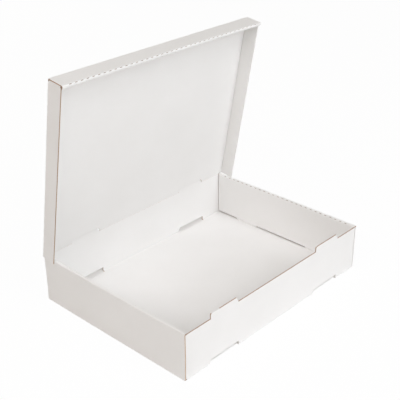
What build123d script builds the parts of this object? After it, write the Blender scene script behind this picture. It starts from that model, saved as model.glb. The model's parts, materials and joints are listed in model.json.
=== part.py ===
"""A pastry box folded from one die-cut sheet of white micro-fluted board.

The tray's side walls are rolled over: an outer panel, a narrow ridge and an inner panel, whose lock
tabs drop into slots in the floor. The front and back walls are single boards, and their ears are
held inside the rolled walls. Lugs stand up from the front wall and the back wall and enter slots in
the floor folds of a box stacked above. The lid turns about the fold on the back wall's top edge.
Its front flange is rolled over too, and holds the ears of its side flanges.

Front is -Y, left is -X, and the origin is the middle of the tray's underside. Lengths are in mm.
"""
import os

from build123d import *

# The board
BOARD = 1.6  # thickness of the micro-fluted board
FOLD_INSIDE = 0.3  # inside radius of a crease
LAYER_GAP = 0.3  # air between layers inside a rolled wall
EDGE_GAP = 1.0  # air between a raw edge and the panel that it stops short of

# The tray
TRAY_WIDTH = 400.0
TRAY_DEPTH = 295.0
TRAY_HEIGHT = 78.0
RIDGE_GAP = 0.5  # air between the front wall's raw edge and the ridges at its ends
TRAY_EAR = 70.0  # length of the ears on the front and back walls

# The lock tabs on the rolled walls' inner panels
TAB_WIDTH = 47.0
TAB_SPACING = 154.0  # between the middles of a panel's two tabs
TAB_CORNER = 1.0  # chamfer on a tab's lower corners
TAB_LIFT = 0.2  # how far a tab's edge stays above the tray's underside
TAB_PLAY = 0.4  # room round a tab in its floor slot

# The stacking lugs, square at the left end and slanted at the right
LUG_WIDTH = 58.0
LUG_SPACING = 240.0  # between the middles of a wall's two lugs
LUG_RISE = 6.5  # height above the side walls' ridges
LUG_SLANT = 5.0  # run of the slanted end
LUG_ROUND = 2.0  # radius of the corner over the square end

# The stacking slots in the front and back floor folds, slanted at the left end
SLOT_PLAY = 2.5  # room past each end of a lug
SLOT_HEIGHT = 8.0  # up the wall
SLOT_DEPTH = 4.5  # into the floor, from the wall's outer face
SLOT_SLANT = 4.0

# The lid
LID_ANGLE = 80.0  # degrees open from closed, as it stands at rest
LID_SIDE_PLAY = 2.2  # air between a side flange and the tray's wall
LID_FRONT_PLAY = 1.0  # air between the front flange and the tray's front wall
LID_FLANGE = 31.0  # depth of the front flange
FLANGE_AT_FRONT = 29.0  # depth of a side flange at its front end
FLANGE_AT_BACK = 25.5  # depth of a side flange at its back end
FLANGE_START = 2.0  # from the hinge axis to the back end of a side flange
FLANGE_SLANT = 2.5  # how far that end leans
LID_EAR = 45.0  # length of the ears on the side flanges
HINGE_GAP = 0.3  # air between the back wall's edge and the lid's edge
WINDOW_PLAY = 0.5  # room round a lug in the lid

# The perforated creases
CUT_LENGTH = 5.0
CUT_PITCH = 10.0
CUT_WIDTH = 0.5
CUT_MARGIN = 10.0  # plain crease at each end

OVERRUN = 1.0  # how far a cutter passes the face that it starts from

# Worked out from the sizes above
FOLD_MIDDLE = FOLD_INSIDE + BOARD / 2
FOLD_OUTSIDE = FOLD_INSIDE + BOARD
LAP = BOARD  # how far strips of one sheet run into each other where they join
ROLL = 3 * BOARD + 2 * LAYER_GAP  # a rolled wall: outer panel, ear, inner panel
EAR_INSET = BOARD + LAYER_GAP  # from a rolled wall's outer face to the ear inside it
EDGE_HEIGHT = TRAY_HEIGHT - BOARD - RIDGE_GAP  # the front wall's raw edge
LUG_TOP = TRAY_HEIGHT + LUG_RISE
LUG_MIDDLES = (-LUG_SPACING / 2, LUG_SPACING / 2)
HINGE_Y = TRAY_DEPTH / 2 - BOARD / 2
HINGE_Z = TRAY_HEIGHT + HINGE_GAP + BOARD / 2
LID_HALF = TRAY_WIDTH / 2 + LID_SIDE_PLAY + BOARD
LID_INSIDE = TRAY_DEPTH - BOARD / 2 + LID_FRONT_PLAY  # hinge axis to the rolled flange's inner face
LID_REACH = LID_INSIDE + ROLL  # hinge axis to the rolled flange's outer face

OUTER, INNER = -1, 1  # the creases at the two sides of a rolled wall's ridge


def box_between(low, high):
    """A box from its lowest to its highest corner."""
    size = [h - l for l, h in zip(low, high)]
    middle = [(h + l) / 2 for l, h in zip(low, high)]
    return Pos(*middle) * Box(*size)


def folded_strip(points, length, plane=Plane.XZ):
    """A strip of board folded along the points, which follow the middle of its thickness."""
    return extrude(plane * trace(FilletPolyline(*points, radius=FOLD_MIDDLE), BOARD), length / 2, both=True)


def floor_fold(length):
    """The fold between a panel that lies on z = 0 and a wall whose outer face is on x = 0."""
    reach = FOLD_OUTSIDE + LAP
    return folded_strip([(reach, BOARD / 2), (BOARD / 2, BOARD / 2), (BOARD / 2, reach)], length)


def crease_cuts(side, height, length):
    """A row of short cuts through the crease at the outer or the inner side of a rolled wall's ridge."""
    count = int((length - 2 * CUT_MARGIN - CUT_LENGTH) // CUT_PITCH) + 1
    first = -CUT_PITCH * (count - 1) / 2
    crease = ROLL / 2 + side * (ROLL / 2 - FOLD_OUTSIDE)
    cut = Pos(side * FOLD_OUTSIDE, 0, 0) * Box(2 * FOLD_OUTSIDE, CUT_LENGTH, CUT_WIDTH)
    cut = Rot(0, -45 * side, 0) * cut
    return [Pos(crease, first + CUT_PITCH * i, height - FOLD_OUTSIDE) * cut for i in range(count)]


def rolled_wall(height, length, cut_sides):
    """A rolled wall along Y. Its outer face is on x = 0, and its floor's underside on z = 0.

    The cut sides say which of its two creases are perforated.
    """
    inner, ridge = ROLL - BOARD / 2, height - BOARD / 2
    panels = folded_strip(
        [(BOARD / 2, FOLD_OUTSIDE), (BOARD / 2, ridge), (inner, ridge), (inner, BOARD + EDGE_GAP)], length
    )
    ends = []
    for side in (-1, 1):
        stop, past = side * (length / 2 - BOARD - EDGE_GAP), side * (length / 2 + OVERRUN)
        low = (ROLL - EAR_INSET, min(stop, past), 0)
        ends.append(box_between(low, (ROLL + LAYER_GAP, max(stop, past), height - FOLD_OUTSIDE)))
    cuts = [cut for side in cut_sides for cut in crease_cuts(side, height, length)]
    return floor_fold(length - 2 * FOLD_OUTSIDE) + (panels - ends - cuts)


def eared_wall(height, ear_top):
    """A single wall along Y with an ear at each end. Its outer face is on x = 0."""
    ear = TRAY_WIDTH / 2 - EAR_INSET - BOARD / 2
    flat = TRAY_WIDTH / 2 - EAR_INSET - FOLD_OUTSIDE
    low = FOLD_OUTSIDE + EDGE_GAP
    bend = [(TRAY_EAR, -ear), (BOARD / 2, -ear), (BOARD / 2, ear), (TRAY_EAR, ear)]
    ears = folded_strip(bend, ear_top - low, Plane((0, 0, (ear_top + low) / 2)))
    plate = box_between((0, -flat, FOLD_OUTSIDE), (BOARD, flat, height))
    return floor_fold(TRAY_WIDTH - 2 * FOLD_OUTSIDE) + ears + plate


def lug_profile(middle, foot):
    """A lug's outline in its wall's plane, from its foot to its top edge."""
    left, right = middle - LUG_WIDTH / 2, middle + LUG_WIDTH / 2
    outline = Polyline(
        (left, foot), (left, LUG_TOP), (right - LUG_SLANT, LUG_TOP), (right, foot), close=True
    )
    return fillet(make_face(outline).vertices().group_by(Axis.Y)[-1].sort_by(Axis.X)[0], LUG_ROUND)


def wall_lugs(wall_y, edge):
    """The two stacking lugs on the top edge of the wall whose middle is at wall_y."""
    lugs = []
    for middle in LUG_MIDDLES:
        foot = box_between(
            (middle - LUG_WIDTH / 2, wall_y - BOARD / 2, edge - LAP),
            (middle + LUG_WIDTH / 2, wall_y + BOARD / 2, edge),
        )
        face = Plane.XZ.offset(-wall_y) * lug_profile(middle, edge)
        lugs += [foot, extrude(face, BOARD / 2, both=True)]
    return lugs


def stacking_slots():
    """Cutters for the slots through the front and back floor folds."""
    cutters = []
    for middle in LUG_MIDDLES:
        left, right = middle - LUG_WIDTH / 2 - SLOT_PLAY, middle + LUG_WIDTH / 2 + SLOT_PLAY
        outline = Polyline(
            (left, -OVERRUN), (left, 0), (left + SLOT_SLANT, SLOT_HEIGHT),
            (right, SLOT_HEIGHT), (right, -OVERRUN), close=True,
        )
        for side in (-1, 1):
            slot_y = side * (TRAY_DEPTH / 2 + OVERRUN / 2 - SLOT_DEPTH / 2)
            face = Plane.XZ.offset(-slot_y) * make_face(outline)
            cutters.append(extrude(face, (SLOT_DEPTH + OVERRUN) / 2, both=True))
    return cutters


def lock_tabs():
    """The inner panels' tabs, and the cutters for their slots in the floor."""
    tabs, slots = [], []
    panel_x = TRAY_WIDTH / 2 - ROLL + BOARD / 2
    slot = Box(BOARD + 2 * TAB_PLAY, TAB_WIDTH + 2 * TAB_PLAY, 2 * BOARD + OVERRUN)
    for tab_y in (-TAB_SPACING / 2, TAB_SPACING / 2):
        near, far = tab_y - TAB_WIDTH / 2, tab_y + TAB_WIDTH / 2
        root, tip = BOARD + EDGE_GAP + LAP, TAB_LIFT
        outline = Polyline(
            (near, root), (near, tip + TAB_CORNER), (near + TAB_CORNER, tip),
            (far - TAB_CORNER, tip), (far, tip + TAB_CORNER), (far, root), close=True,
        )
        for x in (-panel_x, panel_x):
            tabs.append(extrude(Plane.YZ.offset(x) * make_face(outline), BOARD / 2, both=True))
            slots.append(Pos(x, tab_y, 0) * slot)
    return tabs, slots


def make_tray():
    """The floor, the two rolled walls, the two eared walls, the tabs, the lugs and their slots."""
    tabs, tab_slots = lock_tabs()
    floor = box_between(
        (FOLD_OUTSIDE - TRAY_WIDTH / 2, FOLD_OUTSIDE - TRAY_DEPTH / 2, 0),
        (TRAY_WIDTH / 2 - FOLD_OUTSIDE, TRAY_DEPTH / 2 - FOLD_OUTSIDE, BOARD),
    )
    side = rolled_wall(TRAY_HEIGHT, TRAY_DEPTH, (INNER,))
    ear_top = TRAY_HEIGHT - BOARD - EDGE_GAP
    wall = eared_wall(EDGE_HEIGHT, ear_top)
    hinge_half = TRAY_WIDTH / 2 - ROLL - EDGE_GAP
    hinge_edge = box_between(
        (-hinge_half, TRAY_DEPTH / 2 - BOARD, EDGE_HEIGHT - LAP), (hinge_half, TRAY_DEPTH / 2, TRAY_HEIGHT)
    )
    sheet = floor - tab_slots
    for turn in (0, 180):
        sheet += Rot(0, 0, turn) * Pos(-TRAY_WIDTH / 2, 0, 0) * side
        sheet += Rot(0, 0, turn) * Pos(0, -TRAY_DEPTH / 2, 0) * Rot(0, 0, 90) * wall
    sheet += [hinge_edge] + tabs
    sheet -= stacking_slots()
    sheet += wall_lugs(BOARD / 2 - TRAY_DEPTH / 2, EDGE_HEIGHT)
    sheet += wall_lugs(HINGE_Y, TRAY_HEIGHT)
    return sheet


def side_flange():
    """The lid's left flange and its ear. It runs along Y from the hinge, with its outer face on x = 0."""
    front = LID_REACH - EAR_INSET
    outline = Polyline(
        (FLANGE_START, FOLD_OUTSIDE), (FLANGE_START + FLANGE_SLANT, FLANGE_AT_BACK),
        (front - FOLD_OUTSIDE, FLANGE_AT_FRONT), (front - FOLD_OUTSIDE, FOLD_OUTSIDE), close=True,
    )
    plate = extrude(Plane.YZ * make_face(outline), BOARD)
    fold_end = LID_REACH - FOLD_OUTSIDE
    fold = Pos(0, (FLANGE_START + fold_end) / 2, 0) * floor_fold(fold_end - FLANGE_START)
    low, high = FOLD_OUTSIDE + EDGE_GAP, LID_FLANGE - BOARD - EDGE_GAP
    ear_y = front - BOARD / 2
    bend = [(BOARD / 2, front - FOLD_OUTSIDE - LAP), (BOARD / 2, ear_y), (LID_EAR, ear_y)]
    ear = folded_strip(bend, high - low, Plane((0, 0, (high + low) / 2)))
    return plate + fold + ear


def lid_openings():
    """Cutters for the windows round the hinge lugs and the slots for the front lugs."""
    cutters = []
    for middle in LUG_MIDDLES:
        half, top = LUG_WIDTH / 2 + WINDOW_PLAY, LUG_TOP - HINGE_Z + WINDOW_PLAY
        cutters.append(box_between((middle - half, -BOARD, -BOARD), (middle + half, BOARD, top)))
        half = LUG_WIDTH / 2 + SLOT_PLAY
        low = LID_INSIDE - LID_FRONT_PLAY - BOARD - LID_FRONT_PLAY
        cutters.append(box_between((middle - half, -BOARD, low), (middle + half, BOARD, LID_INSIDE)))
    return cutters


def make_lid():
    """The lid standing straight up from the hinge axis, turned to its angle at rest."""
    half = LID_HALF - FOLD_OUTSIDE
    panel = box_between((-half, -BOARD / 2, 0), (half, BOARD / 2, LID_REACH - FOLD_OUTSIDE))
    back_edge = Rot(0, 90, 0) * Cylinder(BOARD / 2, 2 * half)
    front = Plane((0, BOARD / 2, LID_REACH), x_dir=(0, 0, -1), z_dir=(0, -1, 0))
    left = Plane((-LID_HALF, BOARD / 2, 0), x_dir=(1, 0, 0), z_dir=(0, -1, 0))
    flange = left.location * side_flange()
    sheet = panel + back_edge - lid_openings()
    sheet += front.location * rolled_wall(LID_FLANGE, 2 * LID_HALF, (OUTER, INNER))
    sheet += [flange, mirror(flange, Plane.YZ)]
    return Pos(0, HINGE_Y, HINGE_Z) * Rot(90 - LID_ANGLE, 0, 0) * sheet


os.makedirs("parts", exist_ok=True)
for name, piece in (("tray", make_tray()), ("lid", make_lid())):
    export_step(piece, f"parts/{name}.step")
    print(name, "solids", len(piece.solids()), "valid", piece.is_valid, "volume", round(piece.volume))
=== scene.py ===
"""A pastry box of white fluted board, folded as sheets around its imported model.

Each sheet is drawn as the board's outside liner: rows of edges are pulled along the panels and bent
round the creases. The cut edges are then opened between the liners, and the fluting is laid inside.
Lengths are in metres. Front is -Y, left is -X, and the tray stands on z = 0.
"""
import json
import math

import bmesh
import bpy
from bpy.props import FloatProperty, FloatVectorProperty, PointerProperty
from mathutils import Matrix, Vector


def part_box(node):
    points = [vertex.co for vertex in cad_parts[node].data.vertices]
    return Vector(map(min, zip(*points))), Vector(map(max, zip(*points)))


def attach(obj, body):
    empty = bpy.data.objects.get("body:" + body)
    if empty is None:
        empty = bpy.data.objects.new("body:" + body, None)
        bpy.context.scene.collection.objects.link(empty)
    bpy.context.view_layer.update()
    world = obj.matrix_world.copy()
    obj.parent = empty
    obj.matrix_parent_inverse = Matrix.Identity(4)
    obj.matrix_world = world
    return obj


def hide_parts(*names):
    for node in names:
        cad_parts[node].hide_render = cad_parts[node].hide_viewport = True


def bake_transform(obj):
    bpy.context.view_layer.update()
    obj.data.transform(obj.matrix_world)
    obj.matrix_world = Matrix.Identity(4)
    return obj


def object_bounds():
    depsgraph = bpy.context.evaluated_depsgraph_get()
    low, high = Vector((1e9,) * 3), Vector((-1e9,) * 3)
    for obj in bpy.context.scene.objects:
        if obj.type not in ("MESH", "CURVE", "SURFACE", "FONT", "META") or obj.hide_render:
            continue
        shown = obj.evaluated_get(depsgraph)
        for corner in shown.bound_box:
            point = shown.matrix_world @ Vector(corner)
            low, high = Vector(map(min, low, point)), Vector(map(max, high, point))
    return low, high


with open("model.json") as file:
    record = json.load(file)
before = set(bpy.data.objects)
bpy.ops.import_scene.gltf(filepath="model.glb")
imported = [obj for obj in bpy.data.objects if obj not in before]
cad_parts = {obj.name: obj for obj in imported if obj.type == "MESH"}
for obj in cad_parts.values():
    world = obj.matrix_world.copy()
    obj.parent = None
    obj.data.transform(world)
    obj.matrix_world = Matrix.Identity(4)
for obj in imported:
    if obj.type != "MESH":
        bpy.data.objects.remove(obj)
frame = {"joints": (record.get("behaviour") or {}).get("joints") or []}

bl_info = {
    "name": "Pastry Box",
    "version": (1, 0, 0),
    "blender": (4, 5, 0),
    "location": "View3D > Sidebar > Pastry Box",
    "description": "Folds a pastry box from fluted board around its packed model",
    "category": "Add Mesh",
}

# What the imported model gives
CAD_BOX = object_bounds()
TRAY_LOW, TRAY_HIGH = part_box("tray")
LID_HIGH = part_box("lid")[1]
HINGE = frame["joints"][0]
HINGE_POINT = Vector(HINGE["pos_m"])
LID_OPEN = -math.radians(HINGE["range_deg"][0])

MM = 0.001
TOUCH = 0.01 * MM  # points this near are one
X, Y, Z = 0, 1, 2
QUARTER = math.pi / 2
SHARP_ANGLE = math.radians(35)  # edges that turn further than this stay sharp

# Creases, and slits along them
CREASE_STEPS = 5  # an odd count, so that a slit opens along the middle of a crease
FACING_SHARE = 0.999  # how straight the middle of a crease looks the way that is asked for
FLAT_SHARE, MIDDLE_SHARE = 0.995, 0.75  # how straight a panel and a fold's middle look along an axis
SLIT_STEP_SHARES = (-1, -0.55, 0.55, 1)  # a slit's ends and its wide stretch, along its half length
WALL_SLIT_SHARES = 1.2, 1.2  # how wide slits open at the two ends of a crease
OUTER_SLIT_SHARES = 1.6, 0.6  # the same on the lid flange's outer crease
INNER_SLIT_SHARES = 0.3, 0.3  # and on its inner crease
WALL_BOW, FLANGE_BOW = 1 / 2, 1 / 3  # how much less than its middle a wall's or the flange's end leans
LUG_ROUND_STEPS = 4

# Cut edges, and the fluting that shows in them
EDGE_KIND = "edge_kind"  # layer that says how a free edge of a sheet was cut
FLUTED, PLAIN, PRESSED, SLIT = 0, 1, 2, 3
# The slit edges' slot is kraft darkened as painted shade, for the shade inside the slits
LINER, CUT_EDGE, FLUTING, SLIT_EDGE_PAINTED_SHADE = 0, 1, 2, 3  # material slots
TRAY_FLUTES = (Y, Z, Y)  # the way the fluting runs on faces that look along X, Y and Z
LID_FLUTES = (Z, Z, Y)
CROSSING_SHARE = 0.5  # an edge that runs less than this along the fluting crosses it
FLUTE_STEPS = 10  # along one wave of the fluting
FLUTE_MIDDLE, FLUTE_DEPTH = 0.55, 0.9  # shares of the depth of the groove that it lies in

# Paper: noise has its scale, detail and roughness, and relief its strength and depth
LINER_ROUGHNESS, KRAFT_ROUGHNESS = 0.62, 0.9
LINER_CLOUDS, LINER_FIBRES = (14, 3, 0.5), (900, 4, 0.65)
KRAFT_FIBRES = (1400, 5, 0.7)
LINER_TONES, KRAFT_TONES = (0.1, 0.4), (0.35, 0.62)  # where the noise is darkest and lightest
FLUTING_RELIEF, LINER_RELIEF, KRAFT_RELIEF = (0.25, 0.03 * MM), (0.3, 0.03 * MM), (0.6, 0.06 * MM)
WAVE_REPEAT = math.pi / 10  # length of a wave texture's one wave at scale 1
WAVE_WANDER, WAVE_DETAIL = 0.6, 1.0

# Stage
FLOOR_REACH = 20  # half the floor's width
# Under and just behind the tray the floor's glow is dimmed by position: painted shade over the rendered
# shadow
CONTACT_EDGE = 10 * MM  # over which the shade under the box fades
CONTACT_SIDE, CONTACT_FRONT, CONTACT_BACK = 30 * MM, 10 * MM, -20 * MM  # in from the tray's outline
LAMP_AIM = Vector((0, 0, CAD_BOX[1].z / 3))
LAMPS = {  # place, size, power in watts and colour
    "front_lamp": ((0.3, -2.6, 1.2), 2.0, 28.4, (0.92, 0.945, 1)),
    "left_lamp": ((-1.9, -0.5, 2.0), 2.0, 30.6, (1, 0.955, 0.965)),
    "high_lamp": ((0.2, -1.9, 2.4), 2.0, 23.6, (0.92, 0.95, 1)),
    "back_lamp": ((0.2, 2.6, 0.4), 0.7, 15, (1, 0.98, 0.96)),
}


def length_property(name, text, millimetres):
    """A property for a length, which it keeps in metres."""
    return FloatProperty(name=name, description=text, default=millimetres * MM, unit="LENGTH", precision=5)


def angle_property(name, text, degrees):
    """A property for an angle."""
    return FloatProperty(name=name, description=text, default=math.radians(degrees), subtype="ANGLE")


def number_property(name, text, default):
    """A property for a plain number."""
    return FloatProperty(name=name, description=text, default=default)


def colour_property(name, text, default):
    """A property for a colour."""
    return FloatVectorProperty(
        name=name, description=text, default=default, subtype="COLOR", size=4, min=0, max=1
    )


class BoxBoardProperties(bpy.types.PropertyGroup):
    """The board that the box is cut from."""

    thickness: length_property("Thickness", "Thickness of the board", 1.6)
    fold_inside: length_property("Fold", "Inside radius of a crease", 0.3)
    layer_gap: length_property("Layer gap", "Air between layers in a rolled wall", 0.3)
    edge_gap: length_property("Edge gap", "Air between a cut edge and the next panel", 1.0)
    panel_gap: length_property("Panel gap", "Air under a rolled wall's inner panel", 2.0)
    liner: length_property("Liner", "Thickness of each liner", 0.3)
    groove: length_property("Groove", "How deep a cut edge is open between its liners", 0.7)
    flute_pitch: length_property("Flute pitch", "Length of one wave of the fluting", 3.2)
    flute_paper: length_property("Flute paper", "Thickness of the fluting", 0.16)
    score: length_property("Score", "Depth of the groove inside a fold", 0.8)
    score_width: length_property("Score width", "How far each side of that groove is pressed back", 0.55)


class BoxTrayProperties(bpy.types.PropertyGroup):
    """The tray's folds, tabs, lugs and slots."""

    ridge_gap: length_property("Ridge gap", "Air between the front wall's edge and the ridges", 0.5)
    ear: length_property("Ear", "Length of the front and back walls' ears", 70)
    tab_width: length_property("Tab width", "Width of a lock tab", 47)
    tab_spacing: length_property("Tab spacing", "Between the middles of a wall's tabs", 154)
    tab_corner: length_property("Tab corner", "Chamfer on a tab's corners", 1)
    tab_lift: length_property("Tab lift", "From the tray's underside to a tab's edge", 0.2)
    tab_play: length_property("Tab play", "Room round a tab in its slot", 0.15)
    lug_width: length_property("Lug width", "Width of a stacking lug", 58)
    lug_spacing: length_property("Lug spacing", "Between the middles of a wall's lugs", 240)
    lug_rise: length_property("Lug rise", "Height of a lug above the ridges", 6.5)
    lug_slant: length_property("Lug slant", "Run of a lug's slanted end", 5)
    lug_round: length_property("Lug round", "Radius over a lug's square end", 2)
    slot_play: length_property("Slot play", "Room past each end of a lug", 2.5)
    slot_height: length_property("Slot height", "A stacking slot's height up the wall", 8)
    slot_depth: length_property("Slot depth", "A stacking slot's reach into the floor", 4.5)
    slot_slant: length_property("Slot slant", "Run of a slot's slanted end", 4)


class BoxLidProperties(bpy.types.PropertyGroup):
    """The lid's flanges, openings and hinge."""

    front_play: length_property("Front play", "Air between the front flange and the tray", 1)
    flange: length_property("Flange", "Depth of the front flange", 31)
    side_at_front: length_property("Side flange, front", "Depth at its front end", 27.6)
    side_at_back: length_property("Side flange, back", "Depth at its back end", 25.5)
    side_start: length_property("Side flange start", "From the hinge to its back end", 0.5)
    side_slant: length_property("Side flange slant", "How far its back end leans", 0.3)
    ear: length_property("Ear", "Length of the side flanges' ears", 45)
    window_play: length_property("Window play", "Room over a hinge lug and past its square end", 0.3)
    window_end: length_property("Window end", "Room past its slanted end, at the hinge", 1.2)
    hinge_lap: length_property("Hinge lap", "How far the crease runs into the wall and the lid", 0.5)
    hinge_dip: length_property("Hinge dip", "How far the crease is pressed in", 0.15)


class BoxCreaseProperties(bpy.types.PropertyGroup):
    """The perforated creases and the way the walls settle."""

    cut_length: length_property("Cut length", "Length of a slit", 5)
    cut_pitch: length_property("Cut pitch", "From slit to slit", 10)
    cut_margin: length_property("Cut margin", "Plain crease at each end", 10)
    grid: length_property("Grid", "Longest stretch of board between cross lines", 20)
    splay: length_property("Splay", "How far the side walls lean out at the top", 1.0)
    tuck: length_property("Tuck", "How far the side walls stand in at the foot", 0.8)
    flange_lift: length_property("Flange lift", "How far the front flange springs open", 2.0)
    settle_run: length_property("Settle run", "Stretch of board that takes up a lean", 14)
    crush_left: length_property("Crush, left lug", "Pressed stretch of the left lug's edge", 16)
    crush_right: length_property("Crush, right lug", "Pressed stretch of the right lug's edge", 1)


class BoxFinishProperties(bpy.types.PropertyGroup):
    """The colours of the board."""

    white: colour_property("White liner", "Main colour of the liner", (0.9, 0.895, 0.885, 1))
    white_shade: colour_property("White liner, cloudy", "Its cloudier patches", (0.87, 0.864, 0.852, 1))
    kraft: colour_property("Cut edge", "Main colour of the cut board", (0.64, 0.46, 0.33, 1))
    kraft_dark: colour_property("Cut edge, dark", "Its darker fibres", (0.43, 0.28, 0.19, 1))
    fluting: colour_property("Fluting", "Colour of the fluting", (0.56, 0.38, 0.26, 1))
    # Kraft brown darkened well past the cut edge, as painted shade for the shade inside the slits
    slit: colour_property("Slit", "Colour of the slits' edges", (0.3, 0.23, 0.18, 1))


class BoxStageProperties(bpy.types.PropertyGroup):
    """The camera, the lamps and the floor."""

    azimuth: angle_property("Azimuth", "Camera's turn about the box", -47.0)
    elevation: angle_property("Elevation", "Camera's height angle", 27.29)
    roll: angle_property("Roll", "Camera's tilt about its own line", -0.25)
    distance: length_property("Distance", "From the camera to the plane of the origin", 1379.9)
    aside: length_property("Aside", "Camera's shift to its right", -7.67)
    above: length_property("Above", "Camera's shift upwards", 132.82)
    lens_share: number_property("Lens share", "Focal length as a share of the frame's width", 2.1425)
    floor: colour_property("Floor", "Colour of the floor", (0.95, 0.95, 0.95, 1))
    white_share: number_property("White share", "How white the open floor is seen", 0.97)
    # A lower glow under the box is painted shade; the shadow it lets show is rendered
    contact_share: number_property("Contact share", "The same under the box", 0.2)
    sky: colour_property("Sky", "Colour of the light from all sides", (1, 0.9, 0.7, 1))
    sky_strength: number_property("Sky strength", "Strength of that light", 0.19)


class Sizes:
    """The sizes that follow from the properties."""

    def __init__(self, scene):
        board, tray, lid, crease = scene.box_board, scene.box_tray, scene.box_lid, scene.box_crease
        self.board_props, self.tray, self.lid, self.crease = board, tray, lid, crease
        self.board = board.thickness
        self.fold = board.fold_inside + board.thickness
        self.roll = 3 * board.thickness + 2 * board.layer_gap
        self.inset = board.thickness + board.layer_gap
        self.clear = board.thickness + board.edge_gap
        self.panel_clear = board.thickness + board.panel_gap
        self.half_width, self.half_depth, self.lug_top = TRAY_HIGH
        self.height = self.lug_top - tray.lug_rise
        self.edge = self.height - board.thickness - tray.ridge_gap
        self.ear_top = self.height - board.thickness - board.edge_gap
        self.hinge_half = self.half_width - self.roll - board.edge_gap
        self.lug_middles = (-tray.lug_spacing / 2, tray.lug_spacing / 2)
        self.lid_half = LID_HIGH.x
        self.lid_inside = 2 * self.half_depth - board.thickness / 2 + lid.front_play
        self.lid_reach = self.lid_inside + self.roll


def points_of(parts):
    """The points of some edges or faces, each once and always in the same order."""
    return list(dict.fromkeys(point for part in parts for point in part.verts))


def both_ends(middles, half):
    """The two ends of each stretch, from the middles and half the length."""
    return [middle + side * half for middle in middles for side in (-1, 1)]


def main_axis(normal):
    """The axis that a face looks along most."""
    return max((X, Y, Z), key=lambda axis: abs(normal[axis]))


def start_row(bm, first, last):
    """One edge, from which a sheet is drawn."""
    return [bm.edges.new((bm.verts.new(first), bm.verts.new(last)))]


def pull(bm, row, step):
    """Draw a row of edges out into a panel, and give the new row."""
    made = bmesh.ops.extrude_edge_only(bm, edges=row)["geom"]
    points = {part for part in made if isinstance(part, bmesh.types.BMVert)}
    bmesh.ops.translate(bm, vec=step, verts=list(points))
    return [part for part in made if isinstance(part, bmesh.types.BMEdge) and points.issuperset(part.verts)]


def bend(bm, row, centre, axis=(0, 1, 0), angle=QUARTER):
    """Roll a row of edges round a crease, and give the new row."""
    points = points_of(row)
    made = bmesh.ops.spin(
        bm, geom=[*points, *row], cent=centre, axis=axis, angle=angle, steps=CREASE_STEPS, use_merge=False
    )
    return [part for part in made["geom_last"] if isinstance(part, bmesh.types.BMEdge)]


def weld(bm):
    """Join the panels that meet."""
    bmesh.ops.remove_doubles(bm, verts=bm.verts, dist=TOUCH)


def cut(bm, axis, places, within=None):
    """Cross lines over the sheet, or over the faces whose middles pass a test, at places along an axis."""
    normal = Vector([float(index == axis) for index in (X, Y, Z)])
    for place in places:
        chosen = [face for face in bm.faces if within is None or within(face.calc_center_median())]
        edges = dict.fromkeys(edge for face in chosen for edge in face.edges)
        geom = [*chosen, *edges, *points_of(chosen)]
        bmesh.ops.bisect_plane(bm, geom=geom, dist=TOUCH, plane_co=normal * place, plane_no=normal)


def open_edges(bm, *limits):
    """Free edges inside limits, each an axis with its lowest and highest place."""
    def inside(point):
        return all(low - TOUCH <= point.co[axis] <= high + TOUCH for axis, low, high in limits)
    return [edge for edge in bm.edges if len(edge.link_faces) < 2 and all(map(inside, edge.verts))]


def bevel_corners(bm, corners, reach, steps):
    """Chamfer a sheet's corners in one step, or round them in more."""
    bmesh.ops.bevel(
        bm, geom=corners, offset=reach, offset_type="OFFSET", affect="VERTICES", segments=steps, profile=0.5,
        material=-1,
    )


def set_kind(bm, edges, kind):
    """Note how some edges were cut."""
    layer = bm.edges.layers.int[EDGE_KIND]
    for edge in edges:
        edge[layer] = kind


def remove_faces(bm, test):
    """Cut away the faces whose middles pass a test."""
    gone = [face for face in bm.faces if test(face.calc_center_median())]
    bmesh.ops.delete(bm, geom=gone, context="FACES")


def steps_between(low, high, longest):
    """Evenly spaced places between two ends, no further apart than the longest stretch."""
    count = math.ceil((high - low) / longest)
    return [low + (high - low) * index / count for index in range(1, count)]


def join_sheet(bm, sheet, *places):
    """Add copies of a sheet to another, one at each place."""
    mesh = bpy.data.meshes.new("sheet")
    for place in places:
        sheet.to_mesh(mesh)
        mesh.transform(place)
        bm.from_mesh(mesh)
    bpy.data.meshes.remove(mesh)
    sheet.free()


def rolled_wall(size, height, length):
    """A rolled wall along Y: floor fold, outer panel, ridge and inner panel, its outside on x = 0."""
    bm = bmesh.new()
    fold, half = size.fold, length / 2
    row = start_row(bm, (fold, fold - half, 0), (fold, half - fold, 0))
    row = bend(bm, row, (fold, 0, fold))
    row = pull(bm, row, (0, 0, height - 2 * fold))
    row = bend(bm, row, (fold, 0, height - fold))
    row = pull(bm, row, (size.roll - 2 * fold, 0, 0))
    bend(bm, row, (size.roll - fold, 0, height - fold))
    weld(bm)
    for side in (-1, 1):
        end = side * (half - fold)
        pull(bm, open_edges(bm, (Y, end, end), (Z, fold, height)), (0, side * fold, 0))
    stop = half - size.clear
    cut(bm, Y, (-stop, stop))
    row = open_edges(bm, (X, size.roll, size.roll), (Y, -stop, stop), (Z, height - fold, height - fold))
    pull(bm, row, (0, 0, size.panel_clear + fold - height))
    return bm


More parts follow.
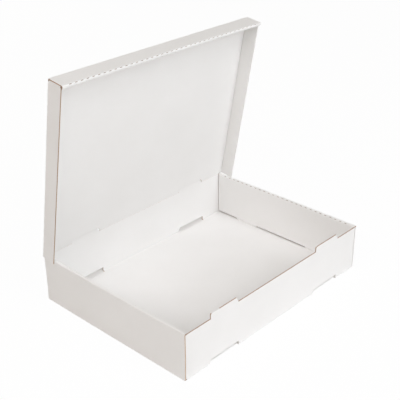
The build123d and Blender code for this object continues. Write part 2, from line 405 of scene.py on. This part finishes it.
def eared_wall(size):
    """A single wall along Y: floor fold, plate and two ears, its outside on x = 0."""
    bm = bmesh.new()
    fold = size.fold
    fold_half, flat = size.half_width - fold, size.half_width - size.inset - fold
    row = start_row(bm, (fold, -fold_half, 0), (fold, fold_half, 0))
    bend(bm, row, (fold, 0, fold))
    weld(bm)
    cut(bm, Y, (-flat, flat))
    level, row = fold, open_edges(bm, (Y, -flat, flat), (Z, fold, fold))
    low = fold + size.board_props.edge_gap
    for top in (low, size.ear_top, size.edge):
        row = pull(bm, row, (0, 0, top - level))
        level = top
    for side in (-1, 1):
        row = open_edges(bm, (Y, side * flat, side * flat), (Z, low, size.ear_top))
        row = bend(bm, row, (fold, side * flat, 0), (0, 0, 1), -side * QUARTER)
        pull(bm, row, (size.tray.ear - fold, 0, 0))
    return bm


def slit_places(size, length):
    """The middles of the slits along a crease."""
    crease = size.crease
    count = int((length - 2 * crease.cut_margin - crease.cut_length) // crease.cut_pitch) + 1
    return [crease.cut_pitch * (index - (count - 1) / 2) for index in range(count)]


def slit_lines(size, length):
    """The ends of the slits and of their wide stretches, where the sheet gets cross lines."""
    half = size.crease.cut_length / 2
    return [place + step * half for place in slit_places(size, length) for step in SLIT_STEP_SHARES]


def open_slits(bm, size, length, axis, facing, side, opening_shares):
    """Slits with pointed ends along the middle of the crease that faces a way.

    A side of -1 or 1 takes only the left or the right half of the box, and 0 takes both.
    """
    first_share, last_share = opening_shares
    facing = Vector(facing).normalized()
    bm.normal_update()
    along = [
        face for face in bm.faces
        if face.normal.dot(facing) > FACING_SHARE and face.calc_center_median()[X] * side >= 0
    ]
    half = size.crease.cut_length / 2
    places = slit_places(size, length)
    slits = [
        [face for face in along if abs(face.calc_center_median()[axis] - place) < half]
        for place in places
    ]
    for place, slit in zip(places, slits):
        points = points_of(slit)
        set_kind(bm, {edge for face in slit for edge in face.edges}, SLIT)
        bmesh.ops.delete(bm, geom=slit, context="FACES")
        run_share = (place + length / 2) / length
        opening_share = first_share + (last_share - first_share) * run_share
        for step in SLIT_STEP_SHARES:
            pair = [point for point in points if abs(point.co[axis] - place - step * half) < TOUCH]
            middle = sum((point.co for point in pair), Vector()) / len(pair)
            for point in pair:
                point.co = middle if abs(step) == 1 else middle.lerp(point.co, opening_share)
    weld(bm)


def stacking_lugs(bm, size, wall_y, edge):
    """Two lugs on a wall's top edge, square at the left end and slanted at the right.

    The slanted end and the first stretch of the top are pressed, so that the liner covers their edge.
    """
    tray, top = size.tray, size.lug_top
    on_wall = (Y, wall_y, wall_y)
    for middle, crush in zip(size.lug_middles, (size.crease.crush_left, size.crease.crush_right)):
        left, right = middle - tray.lug_width / 2, middle + tray.lug_width / 2
        row = open_edges(bm, (X, left, right), on_wall, (Z, edge, edge))
        row = pull(bm, row, (0, 0, top - edge))
        tops = points_of(row)
        max(tops, key=lambda point: point.co.x).co.x -= tray.lug_slant
        corner = min(tops, key=lambda point: point.co.x)
        bevel_corners(bm, [corner], tray.lug_round, LUG_ROUND_STEPS)
        first, last = left + tray.lug_round, left + tray.lug_round + crush
        cut(bm, X, (last,), lambda place: abs(place.y - wall_y) < TOUCH and place.z > edge)
        pressed = open_edges(bm, (X, first, last), on_wall, (Z, top, top))
        slanted = open_edges(bm, (X, right - tray.lug_slant, right), on_wall, (Z, edge, top))
        pressed += [part for part in slanted if part.verts[0].co.z != part.verts[1].co.z]
        set_kind(bm, pressed, PRESSED)


def stacking_slots(bm, size):
    """Openings through the front and back floor folds, slanted at the left end.

    All the edges of the front ones are pressed, and the floor's edge of the back ones.
    """
    tray = size.tray
    inner_y, top = size.half_depth - tray.slot_depth, tray.slot_height
    half = tray.lug_width / 2 + tray.slot_play

    def near_slots(place):
        return abs(place.y) > inner_y and place.z < top

    cut(bm, Y, (-inner_y, inner_y), lambda place: place.z < size.fold / 2)
    cut(bm, Z, (top,), lambda place: abs(place.y) > size.half_depth - size.fold / 2)
    cut(bm, X, both_ends(size.lug_middles, half), near_slots)
    for middle in size.lug_middles:
        left, right = middle - half, middle + half
        remove_faces(bm, lambda place: near_slots(place) and left < place.x < right)
        for point in bm.verts:
            place = point.co
            if abs(place.x - left) < TOUCH and abs(place.y) > inner_y and place.z <= top + TOUCH:
                place.x += tray.slot_slant * place.z / top
        pressed = open_edges(bm, (X, left, right), (Y, inner_y, inner_y), (Z, 0, 0))
        pressed += open_edges(bm, (X, left, right), (Y, -size.half_depth, -inner_y), (Z, 0, top))
        set_kind(bm, pressed, PRESSED)


def lock_tabs(bm, size):
    """The inner panels' tabs, and the floor slots that they enter."""
    tray = size.tray
    panel_x = size.half_width - size.roll
    half, slot_half = tray.tab_width / 2, tray.tab_width / 2 + tray.tab_play
    middles = (-tray.tab_spacing / 2, tray.tab_spacing / 2)
    foot = size.panel_clear
    cut(bm, Y, both_ends(middles, half), lambda place: abs(abs(place.x) - panel_x) < TOUCH)
    for x in (-panel_x, panel_x):
        for middle in middles:
            row = open_edges(bm, (X, x, x), (Y, middle - half, middle + half), (Z, foot, foot))
            row = pull(bm, row, (0, 0, tray.tab_lift - foot))
            tips = sorted(points_of(row), key=lambda point: point.co.y)
            bevel_corners(bm, [tips[0], tips[-1]], tray.tab_corner, 1)
    inner, outer = panel_x - tray.tab_play, panel_x + size.board + tray.tab_play

    def on_floor(place):
        return place.z < TOUCH

    cut(bm, X, [side * x for side in (-1, 1) for x in (inner, outer)], on_floor)
    cut(bm, Y, both_ends(middles, slot_half), on_floor)
    for middle in middles:
        remove_faces(
            bm, lambda place: on_floor(place) and inner < abs(place.x) < outer
            and abs(place.y - middle) < slot_half,
        )


def tray_sheet(size):
    """The tray's outside liner: floor, rolled walls, eared walls, lugs, slots and tabs."""
    bm = bmesh.new()
    fold, back_y, length = size.fold, size.half_depth, 2 * size.half_depth
    floor_half, front_y = size.half_width - fold, fold - back_y
    row = start_row(bm, (-floor_half, front_y, 0), (floor_half, front_y, 0))
    pull(bm, row, (0, length - 2 * fold, 0))
    flat, stop = size.half_width - size.inset - fold, back_y - size.clear
    cut(bm, X, (-flat, flat))
    cut(bm, Y, (-stop, stop))
    left = Matrix.Translation((-size.half_width, 0, 0))
    front = Matrix.Translation((0, -back_y, 0)) @ Matrix.Rotation(QUARTER, 4, "Z")
    turn = Matrix.Rotation(math.pi, 4, "Z")
    join_sheet(bm, rolled_wall(size, size.height, length), left, turn @ left)
    join_sheet(bm, eared_wall(size), front, turn @ front)
    weld(bm)
    bmesh.ops.recalc_face_normals(bm, faces=bm.faces)
    bm.edges.layers.int.new(EDGE_KIND)
    lug_ends = both_ends(size.lug_middles, size.tray.lug_width / 2)
    hinge_span = (X, -size.hinge_half, size.hinge_half)

    def on_plates(place):
        return abs(place.y) > back_y - TOUCH and place.z > fold

    cut(bm, X, lug_ends, lambda place: on_plates(place) and place.z > size.ear_top)
    cut(bm, X, (-size.hinge_half, size.hinge_half), lambda place: on_plates(place) and place.y > 0)
    row = open_edges(bm, hinge_span, (Y, back_y, back_y), (Z, size.edge, size.edge))
    pull(bm, row, (0, 0, size.height - size.edge))
    set_kind(bm, open_edges(bm, hinge_span, (Z, size.height, size.height)), PLAIN)
    for x, kind in ((-size.half_width, PLAIN), (size.half_width, PRESSED)):
        set_kind(bm, open_edges(bm, (X, x, x), (Y, -back_y, -back_y), (Z, fold, size.height - fold)), kind)
    stacking_lugs(bm, size, -back_y, size.edge)
    stacking_lugs(bm, size, back_y, size.height)
    lock_tabs(bm, size)
    stacking_slots(bm, size)
    cut(bm, X, steps_between(-flat, flat, size.crease.grid))
    roll_x = size.half_width - size.roll - TOUCH
    cut(bm, Y, slit_lines(size, length), lambda place: abs(place.x) > roll_x)
    cut(bm, Y, steps_between(-back_y, back_y, size.crease.grid), lambda place: abs(place.x) < roll_x)
    cut(bm, Z, steps_between(fold, size.height - fold, size.crease.grid))
    for side in (-1, 1):
        open_slits(bm, size, length, Y, (-side, 0, 1), side, WALL_SLIT_SHARES)
    return bm


def side_flange(size):
    """The lid's left flange along Y from the hinge: fold, plate and ear, its outside on x = 0."""
    bm = bmesh.new()
    lid, fold = size.lid, size.fold
    front = size.lid_reach - size.inset
    row = start_row(bm, (fold, lid.side_start, 0), (fold, size.lid_reach - fold, 0))
    bend(bm, row, (fold, 0, fold))
    weld(bm)
    cut(bm, Y, (front - fold,))
    low, high = fold + size.board_props.edge_gap, lid.side_at_front - size.board_props.edge_gap
    row = open_edges(bm, (Y, lid.side_start, front - fold), (Z, fold, fold))
    row = pull(bm, row, (0, 0, low - fold))
    row = pull(bm, row, (0, 0, high - low))
    pull(bm, row, (0, 0, lid.side_at_front - high))
    shrink = (lid.side_at_back - low) / (lid.side_at_front - low)
    for point in bm.verts:
        if point.co.y < lid.side_start + TOUCH:
            point.co.z = min(point.co.z, low) + max(point.co.z - low, 0) * shrink
            point.co.y += lid.side_slant * max(point.co.z - fold, 0) / (lid.side_at_back - fold)
    row = open_edges(bm, (Y, front - fold, front - fold), (Z, low, high))
    row = bend(bm, row, (fold, front - fold, 0), (0, 0, 1), -QUARTER)
    pull(bm, row, (lid.ear - fold, 0, 0))
    return bm


def window_ends(size):
    """Where the lid's windows round the hinge lugs start and end at the hinge, from the left."""
    half = size.tray.lug_width / 2
    reaches = (-half - size.lid.window_play, half + size.lid.window_end)
    return [middle + reach for middle in size.lug_middles for reach in reaches]


def lid_sheet(size):
    """The lid's outside liner, standing straight up from the hinge axis."""
    bm = bmesh.new()
    lid, fold, out_y = size.lid, size.fold, size.board / 2
    half, top, length = size.lid_half - fold, size.lid_reach - fold, 2 * size.lid_half
    row = start_row(bm, (-half, out_y, 0), (half, out_y, 0))
    pull(bm, row, (0, 0, top))
    stop = size.lid_half - size.clear
    cut(bm, X, (-stop, stop))
    cut(bm, Z, (lid.side_start, top - size.inset))
    sides = [
        Matrix(((-side, 0, 0, side * size.lid_half), (0, 0, -1, out_y), (0, 1, 0, 0), (0, 0, 0, 1)))
        for side in (-1, 1)
    ]
    front = Matrix(((0, 1, 0, 0), (0, 0, -1, out_y), (-1, 0, 0, size.lid_reach), (0, 0, 0, 1)))
    join_sheet(bm, side_flange(size), *sides)
    join_sheet(bm, rolled_wall(size, lid.flange, length), front)
    weld(bm)
    bmesh.ops.recalc_face_normals(bm, faces=bm.faces)
    bm.edges.layers.int.new(EDGE_KIND)

    def on_panel(place):
        return place.y > out_y - TOUCH

    window_top = size.lug_top - HINGE_POINT.z + lid.window_play
    slot_low = size.lid_inside - 2 * lid.front_play - size.board
    slot = size.tray.lug_width / 2 + size.tray.slot_play
    cut(bm, Z, (window_top, slot_low, size.lid_inside), on_panel)
    ends = window_ends(size)
    cut(bm, X, ends, lambda place: on_panel(place) and place.z < window_top)
    cut(bm, X, both_ends(size.lug_middles, slot),
        lambda place: on_panel(place) and slot_low < place.z < size.lid_inside)
    for middle, left, right in zip(size.lug_middles, ends[::2], ends[1::2]):
        remove_faces(bm, lambda place: on_panel(place) and (
            place.z < window_top and left < place.x < right
            or slot_low < place.z < size.lid_inside and abs(place.x - middle) < slot))
        for point in bm.verts:
            if abs(point.co.x - right) < TOUCH and point.co.z < window_top + TOUCH:
                point.co.x -= point.co.z * size.tray.lug_slant / size.tray.lug_rise
    set_kind(bm, open_edges(bm, (Z, 0, 0)), PLAIN)
    set_kind(bm, open_edges(bm, (X, size.lid_half, size.lid_half)), PRESSED)
    cut(bm, Z, steps_between(window_top, slot_low, size.crease.grid))
    cut(bm, X, slit_lines(size, length), lambda place: place.z > size.lid_inside)
    cut(bm, X, steps_between(-half, half, size.crease.grid), lambda place: place.z < size.lid_inside)
    cut(bm, Y, steps_between(fold - lid.flange, -fold, size.crease.grid / 2))
    open_slits(bm, size, length, X, (0, -1, 1), 0, OUTER_SLIT_SHARES)
    open_slits(bm, size, length, X, (0, -1, -1), 0, INNER_SLIT_SHARES)
    return bm


def hinge_strips(size):
    """The board between the back wall and the lid, past the lugs' windows, bent as far as the lid stands."""
    bm = bmesh.new()
    low, high = size.height - size.lid.hinge_lap, HINGE_POINT.z + size.lid.hinge_lap
    width = size.board - 2 * size.lid.hinge_dip
    ends = [-size.hinge_half, *window_ends(size), size.hinge_half]
    for first, last in zip(ends[::2], ends[1::2]):
        middle = Vector(((first + last) / 2, HINGE_POINT.y, (low + high) / 2))
        extent = Vector((last - first, width, high - low))
        bmesh.ops.create_cube(bm, size=1, matrix=Matrix.LocRotScale(middle, None, extent))
    rise = HINGE_POINT.z - size.height
    levels = [size.height + rise * step / CREASE_STEPS for step in range(CREASE_STEPS + 1)]
    cut(bm, Z, levels)
    map_sheet(bm, TRAY_FLUTES)
    for level in (*levels, high):
        share = ease((level - size.height) / rise)
        row = [point for point in bm.verts if abs(point.co.z - level) < TOUCH]
        turn = Matrix.Rotation((QUARTER - LID_OPEN) * share, 3, "X")
        bmesh.ops.rotate(bm, cent=HINGE_POINT, matrix=turn, verts=row)
    return bm


def score_folds(bm, size, inside):
    """Press a groove into the inside of the folds, away from their ends, as a creasing rule leaves it."""
    props = size.board_props
    moves = {}
    for face in bm.faces:
        lean = max(map(abs, face.normal))
        if face not in inside or lean > FLAT_SHARE:
            continue
        for point in face.verts:
            if not all(other in inside for other in point.link_faces):
                continue
            panels = [other.normal for other in point.link_faces if max(map(abs, other.normal)) > FLAT_SHARE]
            if panels:
                slide = face.normal - panels[0] * face.normal.dot(panels[0])
                moves[point] = slide.normalized() * props.score_width
            elif lean < MIDDLE_SHARE:
                moves[point] = -face.normal * props.score
    for point, move in moves.items():
        point.co += move


def thicken(bm, size, flute_axes, scored=False):
    """Give a sheet its inside liner and its cut edges, and list the cut edges that show the fluting."""
    props = size.board_props
    kinds = bm.edges.layers.int[EDGE_KIND]
    outside = set(bm.faces)
    bmesh.ops.solidify(bm, geom=bm.faces[:], thickness=size.board)
    bm.normal_update()
    inside = set(bm.faces) - outside
    edges, fluted = [], []
    for face in bm.faces:
        rim = [edge for edge in face.edges if any(other in outside for other in edge.link_faces)]
        if face in outside or not rim:
            continue
        inside.discard(face)
        kind = rim[0][kinds]
        # Slit edges take the darkened kraft: painted shade inside the slits
        face.material_index = {PRESSED: LINER, SLIT: SLIT_EDGE_PAINTED_SHADE}.get(kind, CUT_EDGE)
        if kind != FLUTED:
            continue
        edges.append(face)
        panel = next(other for other in rim[0].link_faces if other in outside)
        looks = main_axis(panel.normal)
        first, last = (point.co.copy() for point in rim[0].verts)
        run = last - first
        if run.length > size.fold and abs(run.normalized()[flute_axes[looks]]) < CROSSING_SHARE:
            fluted.append((first, last, -panel.normal * size.board, -face.normal))
    if scored:
        score_folds(bm, size, inside)
    bmesh.ops.inset_region(bm, faces=edges, thickness=props.liner, use_boundary=True, use_even_offset=True)
    groove = bmesh.ops.inset_region(
        bm, faces=edges, thickness=TOUCH, depth=-props.groove, use_boundary=True, use_even_offset=True
    )["faces"]
    for face in [*edges, *groove]:
        face.material_index = FLUTING
    return fluted


def lay_fluting(size, fluted):
    """Waved strips of fluting in the cut edges that cross it, each from a grid that spans -0.5 to 0.5."""
    props = size.board_props
    bm = bmesh.new()
    swing = (size.board / 2 - props.liner - props.flute_paper / 2) / size.board
    for first, last, through, inward in fluted:
        run = last - first
        steps = max(2, round(run.length / props.flute_pitch * FLUTE_STEPS))
        inner_share = 1 - 2 * props.flute_paper / run.length
        for point in bmesh.ops.create_grid(bm, x_segments=steps, y_segments=1, size=0.5)["verts"]:
            place = first.lerp(last, 0.5 + inner_share * point.co.x)
            wave = math.sin(2 * math.pi * place.dot(run.normalized()) / props.flute_pitch)
            depth = props.groove * (FLUTE_MIDDLE + FLUTE_DEPTH * point.co.y)
            point.co = place + through * (0.5 + swing * wave) + inward * depth
    bm.normal_update()
    bmesh.ops.solidify(bm, geom=bm.faces[:], thickness=props.flute_paper)
    return bm


def ease(share):
    """A share from 0 to 1, eased at both ends."""
    share = min(max(share, 0), 1)
    return share * share * (3 - 2 * share)


def settle_tray(bm, size):
    """Lean the side walls out a little, most at the middle of their tops, as folded board settles."""
    crease = size.crease
    for point in bm.verts:
        place = point.co
        wall = ease((abs(place.x) - size.half_width + size.roll + crease.settle_run) / crease.settle_run)
        bow = 1 - WALL_BOW * (place.y / size.half_depth) ** 2
        lean = (crease.splay + crease.tuck) * place.z / size.height - crease.tuck
        place.x += math.copysign(wall * bow * lean, place.x)


def settle_lid(bm, size):
    """Let the lid's front flange spring open a little, most at its middle."""
    crease, lid = size.crease, size.lid
    for point in bm.verts:
        place = point.co
        front = ease((place.z - size.lid_inside + crease.settle_run) / crease.settle_run)
        depth = max(0, size.board / 2 - size.fold - place.y) / lid.flange
        bow = 1 - FLANGE_BOW * (place.x / size.lid_half) ** 2
        place.z += crease.flange_lift * front * depth * bow


def map_sheet(bm, flute_axes):
    """A UV map whose first direction crosses the fluting and whose second follows it."""
    layer = bm.loops.layers.uv.new("sheet")
    bm.normal_update()
    for face in bm.faces:
        looks = main_axis(face.normal)
        along = flute_axes[looks]
        across = next(axis for axis in (X, Y, Z) if axis not in (looks, along)) if along != looks else X
        for loop in face.loops:
            loop[layer].uv = (loop.vert.co[across], loop.vert.co[along])


def finish_piece(bm, name, body, materials):
    """Make a piece of the finished mesh, with sharp cut edges and smooth creases."""
    for face in bm.faces:
        face.smooth = True
    for edge in bm.edges:
        edge.smooth = len(edge.link_faces) == 2 and edge.calc_face_angle() < SHARP_ANGLE
    mesh = bpy.data.meshes.new(name)
    bm.to_mesh(mesh)
    bm.free()
    for material in materials:
        mesh.materials.append(material)
    piece = bpy.data.objects.new(name, mesh)
    bpy.context.scene.collection.objects.link(piece)
    piece.modifiers.new("even shading", "WEIGHTED_NORMAL").keep_sharp = True
    if body:
        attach(piece, body)
    return piece


def new_material(name, colour, roughness):
    """A plain material and its shader."""
    material = bpy.data.materials.new(name)
    material.use_nodes = True
    material.diffuse_color = colour
    shader = material.node_tree.nodes["Principled BSDF"]
    shader.inputs["Base Color"].default_value = colour
    shader.inputs["Roughness"].default_value = roughness
    return material, shader


def add_node(tree, kind, settings=None, links=None):
    """A node with its settings, fed by other nodes' sockets."""
    node = tree.nodes.new(kind)
    for name, value in (settings or {}).items():
        if isinstance(name, int) or name in node.inputs:
            node.inputs[name].default_value = value
        else:
            setattr(node, name, value)
    for name, socket in (links or {}).items():
        tree.links.new(socket, node.inputs[name])
    return node


def combine(tree, operation, first, second):
    """A socket worked out from two others."""
    return add_node(tree, "ShaderNodeMath", {"operation": operation}, {0: first, 1: second}).outputs["Value"]


def paper_noise(tree, place, scale, detail, roughness):
    """A socket with a cloudy pattern that lies still on the piece."""
    settings = {"Scale": scale, "Detail": detail, "Roughness": roughness}
    return add_node(tree, "ShaderNodeTexNoise", settings, {"Vector": place.outputs["Object"]}).outputs["Fac"]


def two_tones(tree, shade, places, colours):
    """A socket that runs from one colour to another as a shade rises from place to place."""
    ramp = add_node(tree, "ShaderNodeValToRGB", links={"Fac": shade})
    for stop, place, colour in zip(ramp.color_ramp.elements, places, colours):
        stop.position = place
        stop.color = colour
    return ramp.outputs["Color"]


def relief(tree, height, strength, depth, links=None):
    """A socket with the normal of a fine relief."""
    settings = {"Strength": strength, "Distance": depth}
    return add_node(tree, "ShaderNodeBump", settings, {"Height": height, **(links or {})}).outputs["Normal"]


def liner_material(finish, board):
    """White liner: faint clouds and fibres, with the fluting just felt through it."""
    material, shader = new_material("white_liner", finish.white, LINER_ROUGHNESS)
    tree = material.node_tree
    place = add_node(tree, "ShaderNodeTexCoord")
    fibres = paper_noise(tree, place, *LINER_FIBRES)
    shade = combine(tree, "MULTIPLY", paper_noise(tree, place, *LINER_CLOUDS), fibres)
    colour = two_tones(tree, shade, LINER_TONES, (finish.white_shade, finish.white))
    settings = {"Scale": WAVE_REPEAT / board.flute_pitch, "Distortion": WAVE_WANDER, "Detail": WAVE_DETAIL}
    waves = add_node(tree, "ShaderNodeTexWave", settings, {"Vector": place.outputs["UV"]})
    felt = relief(tree, waves.outputs["Fac"], *FLUTING_RELIEF)
    grain = relief(tree, fibres, *LINER_RELIEF, {"Normal": felt})
    tree.links.new(colour, shader.inputs["Base Color"])
    tree.links.new(grain, shader.inputs["Normal"])
    return material


def kraft_material(name, light, dark):
    """Brown board paper with torn fibres."""
    material, shader = new_material(name, light, KRAFT_ROUGHNESS)
    tree = material.node_tree
    fibres = paper_noise(tree, add_node(tree, "ShaderNodeTexCoord"), *KRAFT_FIBRES)
    tree.links.new(two_tones(tree, fibres, KRAFT_TONES, (dark, light)), shader.inputs["Base Color"])
    tree.links.new(relief(tree, fibres, *KRAFT_RELIEF), shader.inputs["Normal"])
    return material


def board_materials(scene):
    """The liner, cut edge, fluting and slit edge with its painted shade, in the order of the material slots.
    """
    finish = scene.box_finish
    if "white_liner" not in bpy.data.materials:
        liner_material(finish, scene.box_board)
        # The slit colour is kraft with painted shade for the inside of the slits
        kraft = {"cut_edge": finish.kraft, "fluting": finish.fluting, "slit_edge_painted_shade": finish.slit}
        for name, colour in kraft.items():
            kraft_material(name, colour, finish.kraft_dark)
    return [bpy.data.materials[name] for name in ("white_liner", "cut_edge", "fluting", "slit_edge_painted_shade")]


class PASTRYBOX_OT_fold_tray(bpy.types.Operator):
    """Fold the tray from one sheet of board, and lay the fluting in its cut edges"""

    bl_idname = "pastry_box.fold_tray"
    bl_label = "Fold Tray"

    def execute(self, context):
        size = Sizes(context.scene)
        materials = board_materials(context.scene)
        bm = tray_sheet(size)
        flutes = lay_fluting(size, thicken(bm, size, TRAY_FLUTES))
        map_sheet(bm, TRAY_FLUTES)
        for part in (bm, flutes):
            settle_tray(part, size)
        board = finish_piece(bm, "tray_board", "tray", materials)
        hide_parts("tray")
        finish_piece(flutes, "tray_fluting", "tray", [materials[FLUTING]])
        return {"FINISHED"}


class PASTRYBOX_OT_fold_lid(bpy.types.Operator):
    """Fold the lid from one sheet of board, open it, and lay the fluting in its cut edges"""

    bl_idname = "pastry_box.fold_lid"
    bl_label = "Fold Lid"

    def execute(self, context):
        size = Sizes(context.scene)
        materials = board_materials(context.scene)
        bm = lid_sheet(size)
        flutes = lay_fluting(size, thicken(bm, size, LID_FLUTES, scored=True))
        map_sheet(bm, LID_FLUTES)
        rest = Matrix.Translation(HINGE_POINT) @ Matrix.Rotation(QUARTER - LID_OPEN, 4, "X")
        for part in (bm, flutes):
            settle_lid(part, size)
            bmesh.ops.transform(part, matrix=rest, verts=part.verts)
        board = finish_piece(bm, "lid_board", "lid", materials)
        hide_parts("lid")
        finish_piece(flutes, "lid_fluting", "lid", [materials[FLUTING]])
        return {"FINISHED"}


class PASTRYBOX_OT_crease_hinge(bpy.types.Operator):
    """Run the board through the fold between the back wall and the lid"""

    bl_idname = "pastry_box.crease_hinge"
    bl_label = "Crease Hinge"

    def execute(self, context):
        size = Sizes(context.scene)
        materials = board_materials(context.scene)
        crease = finish_piece(hinge_strips(size), "hinge_crease", None, [materials[LINER]])
        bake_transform(crease)
        return {"FINISHED"}


class PASTRYBOX_OT_set_stage(bpy.types.Operator):
    """Set the camera, the lamps, the world and a pale floor"""

    bl_idname = "pastry_box.set_stage"
    bl_label = "Set Stage"

    def execute(self, context):
        scene = context.scene
        place_camera(scene, scene.box_stage)
        pale_floor(scene, scene.box_stage)
        light_stage(scene, scene.box_stage)
        scene.view_settings.view_transform = "Standard"
        return {"FINISHED"}


def place_camera(scene, stage):
    """A camera at the angle of view."""
    turn, rise, roll = stage.azimuth, stage.elevation, stage.roll
    back = Vector((math.sin(turn) * math.cos(rise), -math.cos(turn) * math.cos(rise), math.sin(rise)))
    right = Vector((math.cos(turn), math.sin(turn), 0))
    up = back.cross(right)
    place = back * stage.distance + right * stage.aside + up * stage.above
    rolled_right = right * math.cos(roll) + up * math.sin(roll)
    rolled_up = up * math.cos(roll) - right * math.sin(roll)
    data = bpy.data.cameras.new("camera")
    data.lens = data.sensor_width * stage.lens_share
    camera = bpy.data.objects.new("camera", data)
    axes = Matrix((rolled_right, rolled_up, back)).transposed().to_4x4()
    camera.matrix_world = Matrix.Translation(place) @ axes
    scene.collection.objects.link(camera)
    scene.camera = camera


def seen_rays(tree):
    """A socket that is 1 on rays from the eye, from gloss and through glass, and 0 on others."""
    path = add_node(tree, "ShaderNodeLightPath")
    total = path.outputs["Is Camera Ray"]
    for other in ("Is Glossy Ray", "Is Transmission Ray"):
        total = combine(tree, "MAXIMUM", total, path.outputs[other])
    return total


def mix_shaders(tree, share, first, second, output):
    """Send two shaders to an output, mixed by the share of the second."""
    links = {"Fac": share, 1: first.outputs[0], 2: second.outputs[0]}
    mix = add_node(tree, "ShaderNodeMixShader", links=links)
    tree.links.new(mix.outputs["Shader"], tree.nodes[output].inputs["Surface"])


def beyond(tree, place, low, high):
    """A socket that is 0 between two places along one coordinate, and rises to 1 at each."""
    middle, half = (low + high) / 2, (high - low) / 2
    offset = add_node(tree, "ShaderNodeMath", {"operation": "SUBTRACT", 1: middle}, {0: place})
    reach = add_node(tree, "ShaderNodeMath", {"operation": "ABSOLUTE"}, {0: offset.outputs["Value"]})
    settings = {"From Min": half - CONTACT_EDGE, "From Max": half}
    rise = add_node(tree, "ShaderNodeMapRange", settings, {"Value": reach.outputs["Value"]})
    return rise.outputs["Result"]


def pale_floor(scene, stage):
    """A plain white floor that keeps the box's shadow. Its glow is dimmed by position under the tray and just
    behind it, a painted shade, so the rendered shadow there shows deepest.
    """
    bm = bmesh.new()
    bmesh.ops.create_grid(bm, x_segments=1, y_segments=1, size=FLOOR_REACH)
    mesh = bpy.data.meshes.new("floor")
    bm.to_mesh(mesh)
    bm.free()
    floor = bpy.data.objects.new("floor", mesh)
    scene.collection.objects.link(floor)
    material, shader = new_material("pale_floor", stage.floor, 1)
    shader.inputs["Specular IOR Level"].default_value = 0
    tree = material.node_tree
    place = add_node(tree, "ShaderNodeTexCoord")
    axes = add_node(tree, "ShaderNodeSeparateXYZ", links={"Vector": place.outputs["Object"]})
    # Glow share dimmed in a patch under and behind the tray: painted shade over the rendered shadow
    aside = beyond(tree, axes.outputs["X"], TRAY_LOW.x + CONTACT_SIDE, TRAY_HIGH.x - CONTACT_SIDE)
    ahead = beyond(tree, axes.outputs["Y"], TRAY_LOW.y + CONTACT_FRONT, TRAY_HIGH.y - CONTACT_BACK)
    settings = {"To Min": stage.contact_share, "To Max": stage.white_share}
    share = add_node(tree, "ShaderNodeMapRange", settings, {"Value": combine(tree, "MAXIMUM", aside, ahead)})
    seen = combine(tree, "MULTIPLY", seen_rays(tree), share.outputs["Result"])
    glow = add_node(tree, "ShaderNodeEmission")
    mix_shaders(tree, seen, shader, glow, "Material Output")
    mesh.materials.append(material)


def area_lamp(scene, name, place, size, power, colour):
    """A soft lamp that looks at the box."""
    data = bpy.data.lights.new(name, "AREA")
    data.shape = "DISK"
    data.size = size
    data.energy = power
    data.color = colour
    lamp = bpy.data.objects.new(name, data)
    place = Vector(place)
    turn = (place - LAMP_AIM).to_track_quat("Z", "Y").to_matrix().to_4x4()
    lamp.matrix_world = Matrix.Translation(place) @ turn
    scene.collection.objects.link(lamp)


def light_stage(scene, stage):
    """Soft studio light, brightest from the front and the left, before a white backdrop."""
    world = bpy.data.worlds.new("studio")
    world.use_nodes = True
    tree = world.node_tree
    soft = tree.nodes["Background"]
    soft.inputs["Color"].default_value = stage.sky
    soft.inputs["Strength"].default_value = stage.sky_strength
    white = add_node(tree, "ShaderNodeBackground", {"Color": (1, 1, 1, 1)})
    mix_shaders(tree, seen_rays(tree), soft, white, "World Output")
    scene.world = world
    for name, lamp in LAMPS.items():
        area_lamp(scene, name, *lamp)


class PASTRYBOX_PT_panel(bpy.types.Panel):
    """Folds the pastry box from the 3D view's sidebar"""

    bl_idname = "PASTRYBOX_PT_panel"
    bl_label = "Pastry Box"
    bl_space_type = "VIEW_3D"
    bl_region_type = "UI"
    bl_category = "Pastry Box"

    def draw(self, context):
        layout = self.layout
        for operator in OPERATORS:
            layout.operator(operator.bl_idname)
        for name, group in GROUPS.items():
            box = layout.box()
            for prop in group.__annotations__:
                box.prop(getattr(context.scene, name), prop)


GROUPS = {
    "box_board": BoxBoardProperties,
    "box_tray": BoxTrayProperties,
    "box_lid": BoxLidProperties,
    "box_crease": BoxCreaseProperties,
    "box_finish": BoxFinishProperties,
    "box_stage": BoxStageProperties,
}
OPERATORS = (PASTRYBOX_OT_fold_tray, PASTRYBOX_OT_fold_lid, PASTRYBOX_OT_crease_hinge, PASTRYBOX_OT_set_stage)


def register():
    """Register the classes and give the scene its properties."""
    for cls in (*GROUPS.values(), *OPERATORS, PASTRYBOX_PT_panel):
        bpy.utils.register_class(cls)
    for name, group in GROUPS.items():
        setattr(bpy.types.Scene, name, PointerProperty(type=group))


def unregister():
    """Take the properties and the classes away again."""
    for name in GROUPS:
        delattr(bpy.types.Scene, name)
    for cls in reversed((*GROUPS.values(), *OPERATORS, PASTRYBOX_PT_panel)):
        bpy.utils.unregister_class(cls)


def main():
    """Fold the box and set the stage."""
    register()
    bpy.ops.pastry_box.fold_tray()
    bpy.ops.pastry_box.fold_lid()
    bpy.ops.pastry_box.crease_hinge()
    bpy.ops.pastry_box.set_stage()


if __name__ == "__main__":
    main()
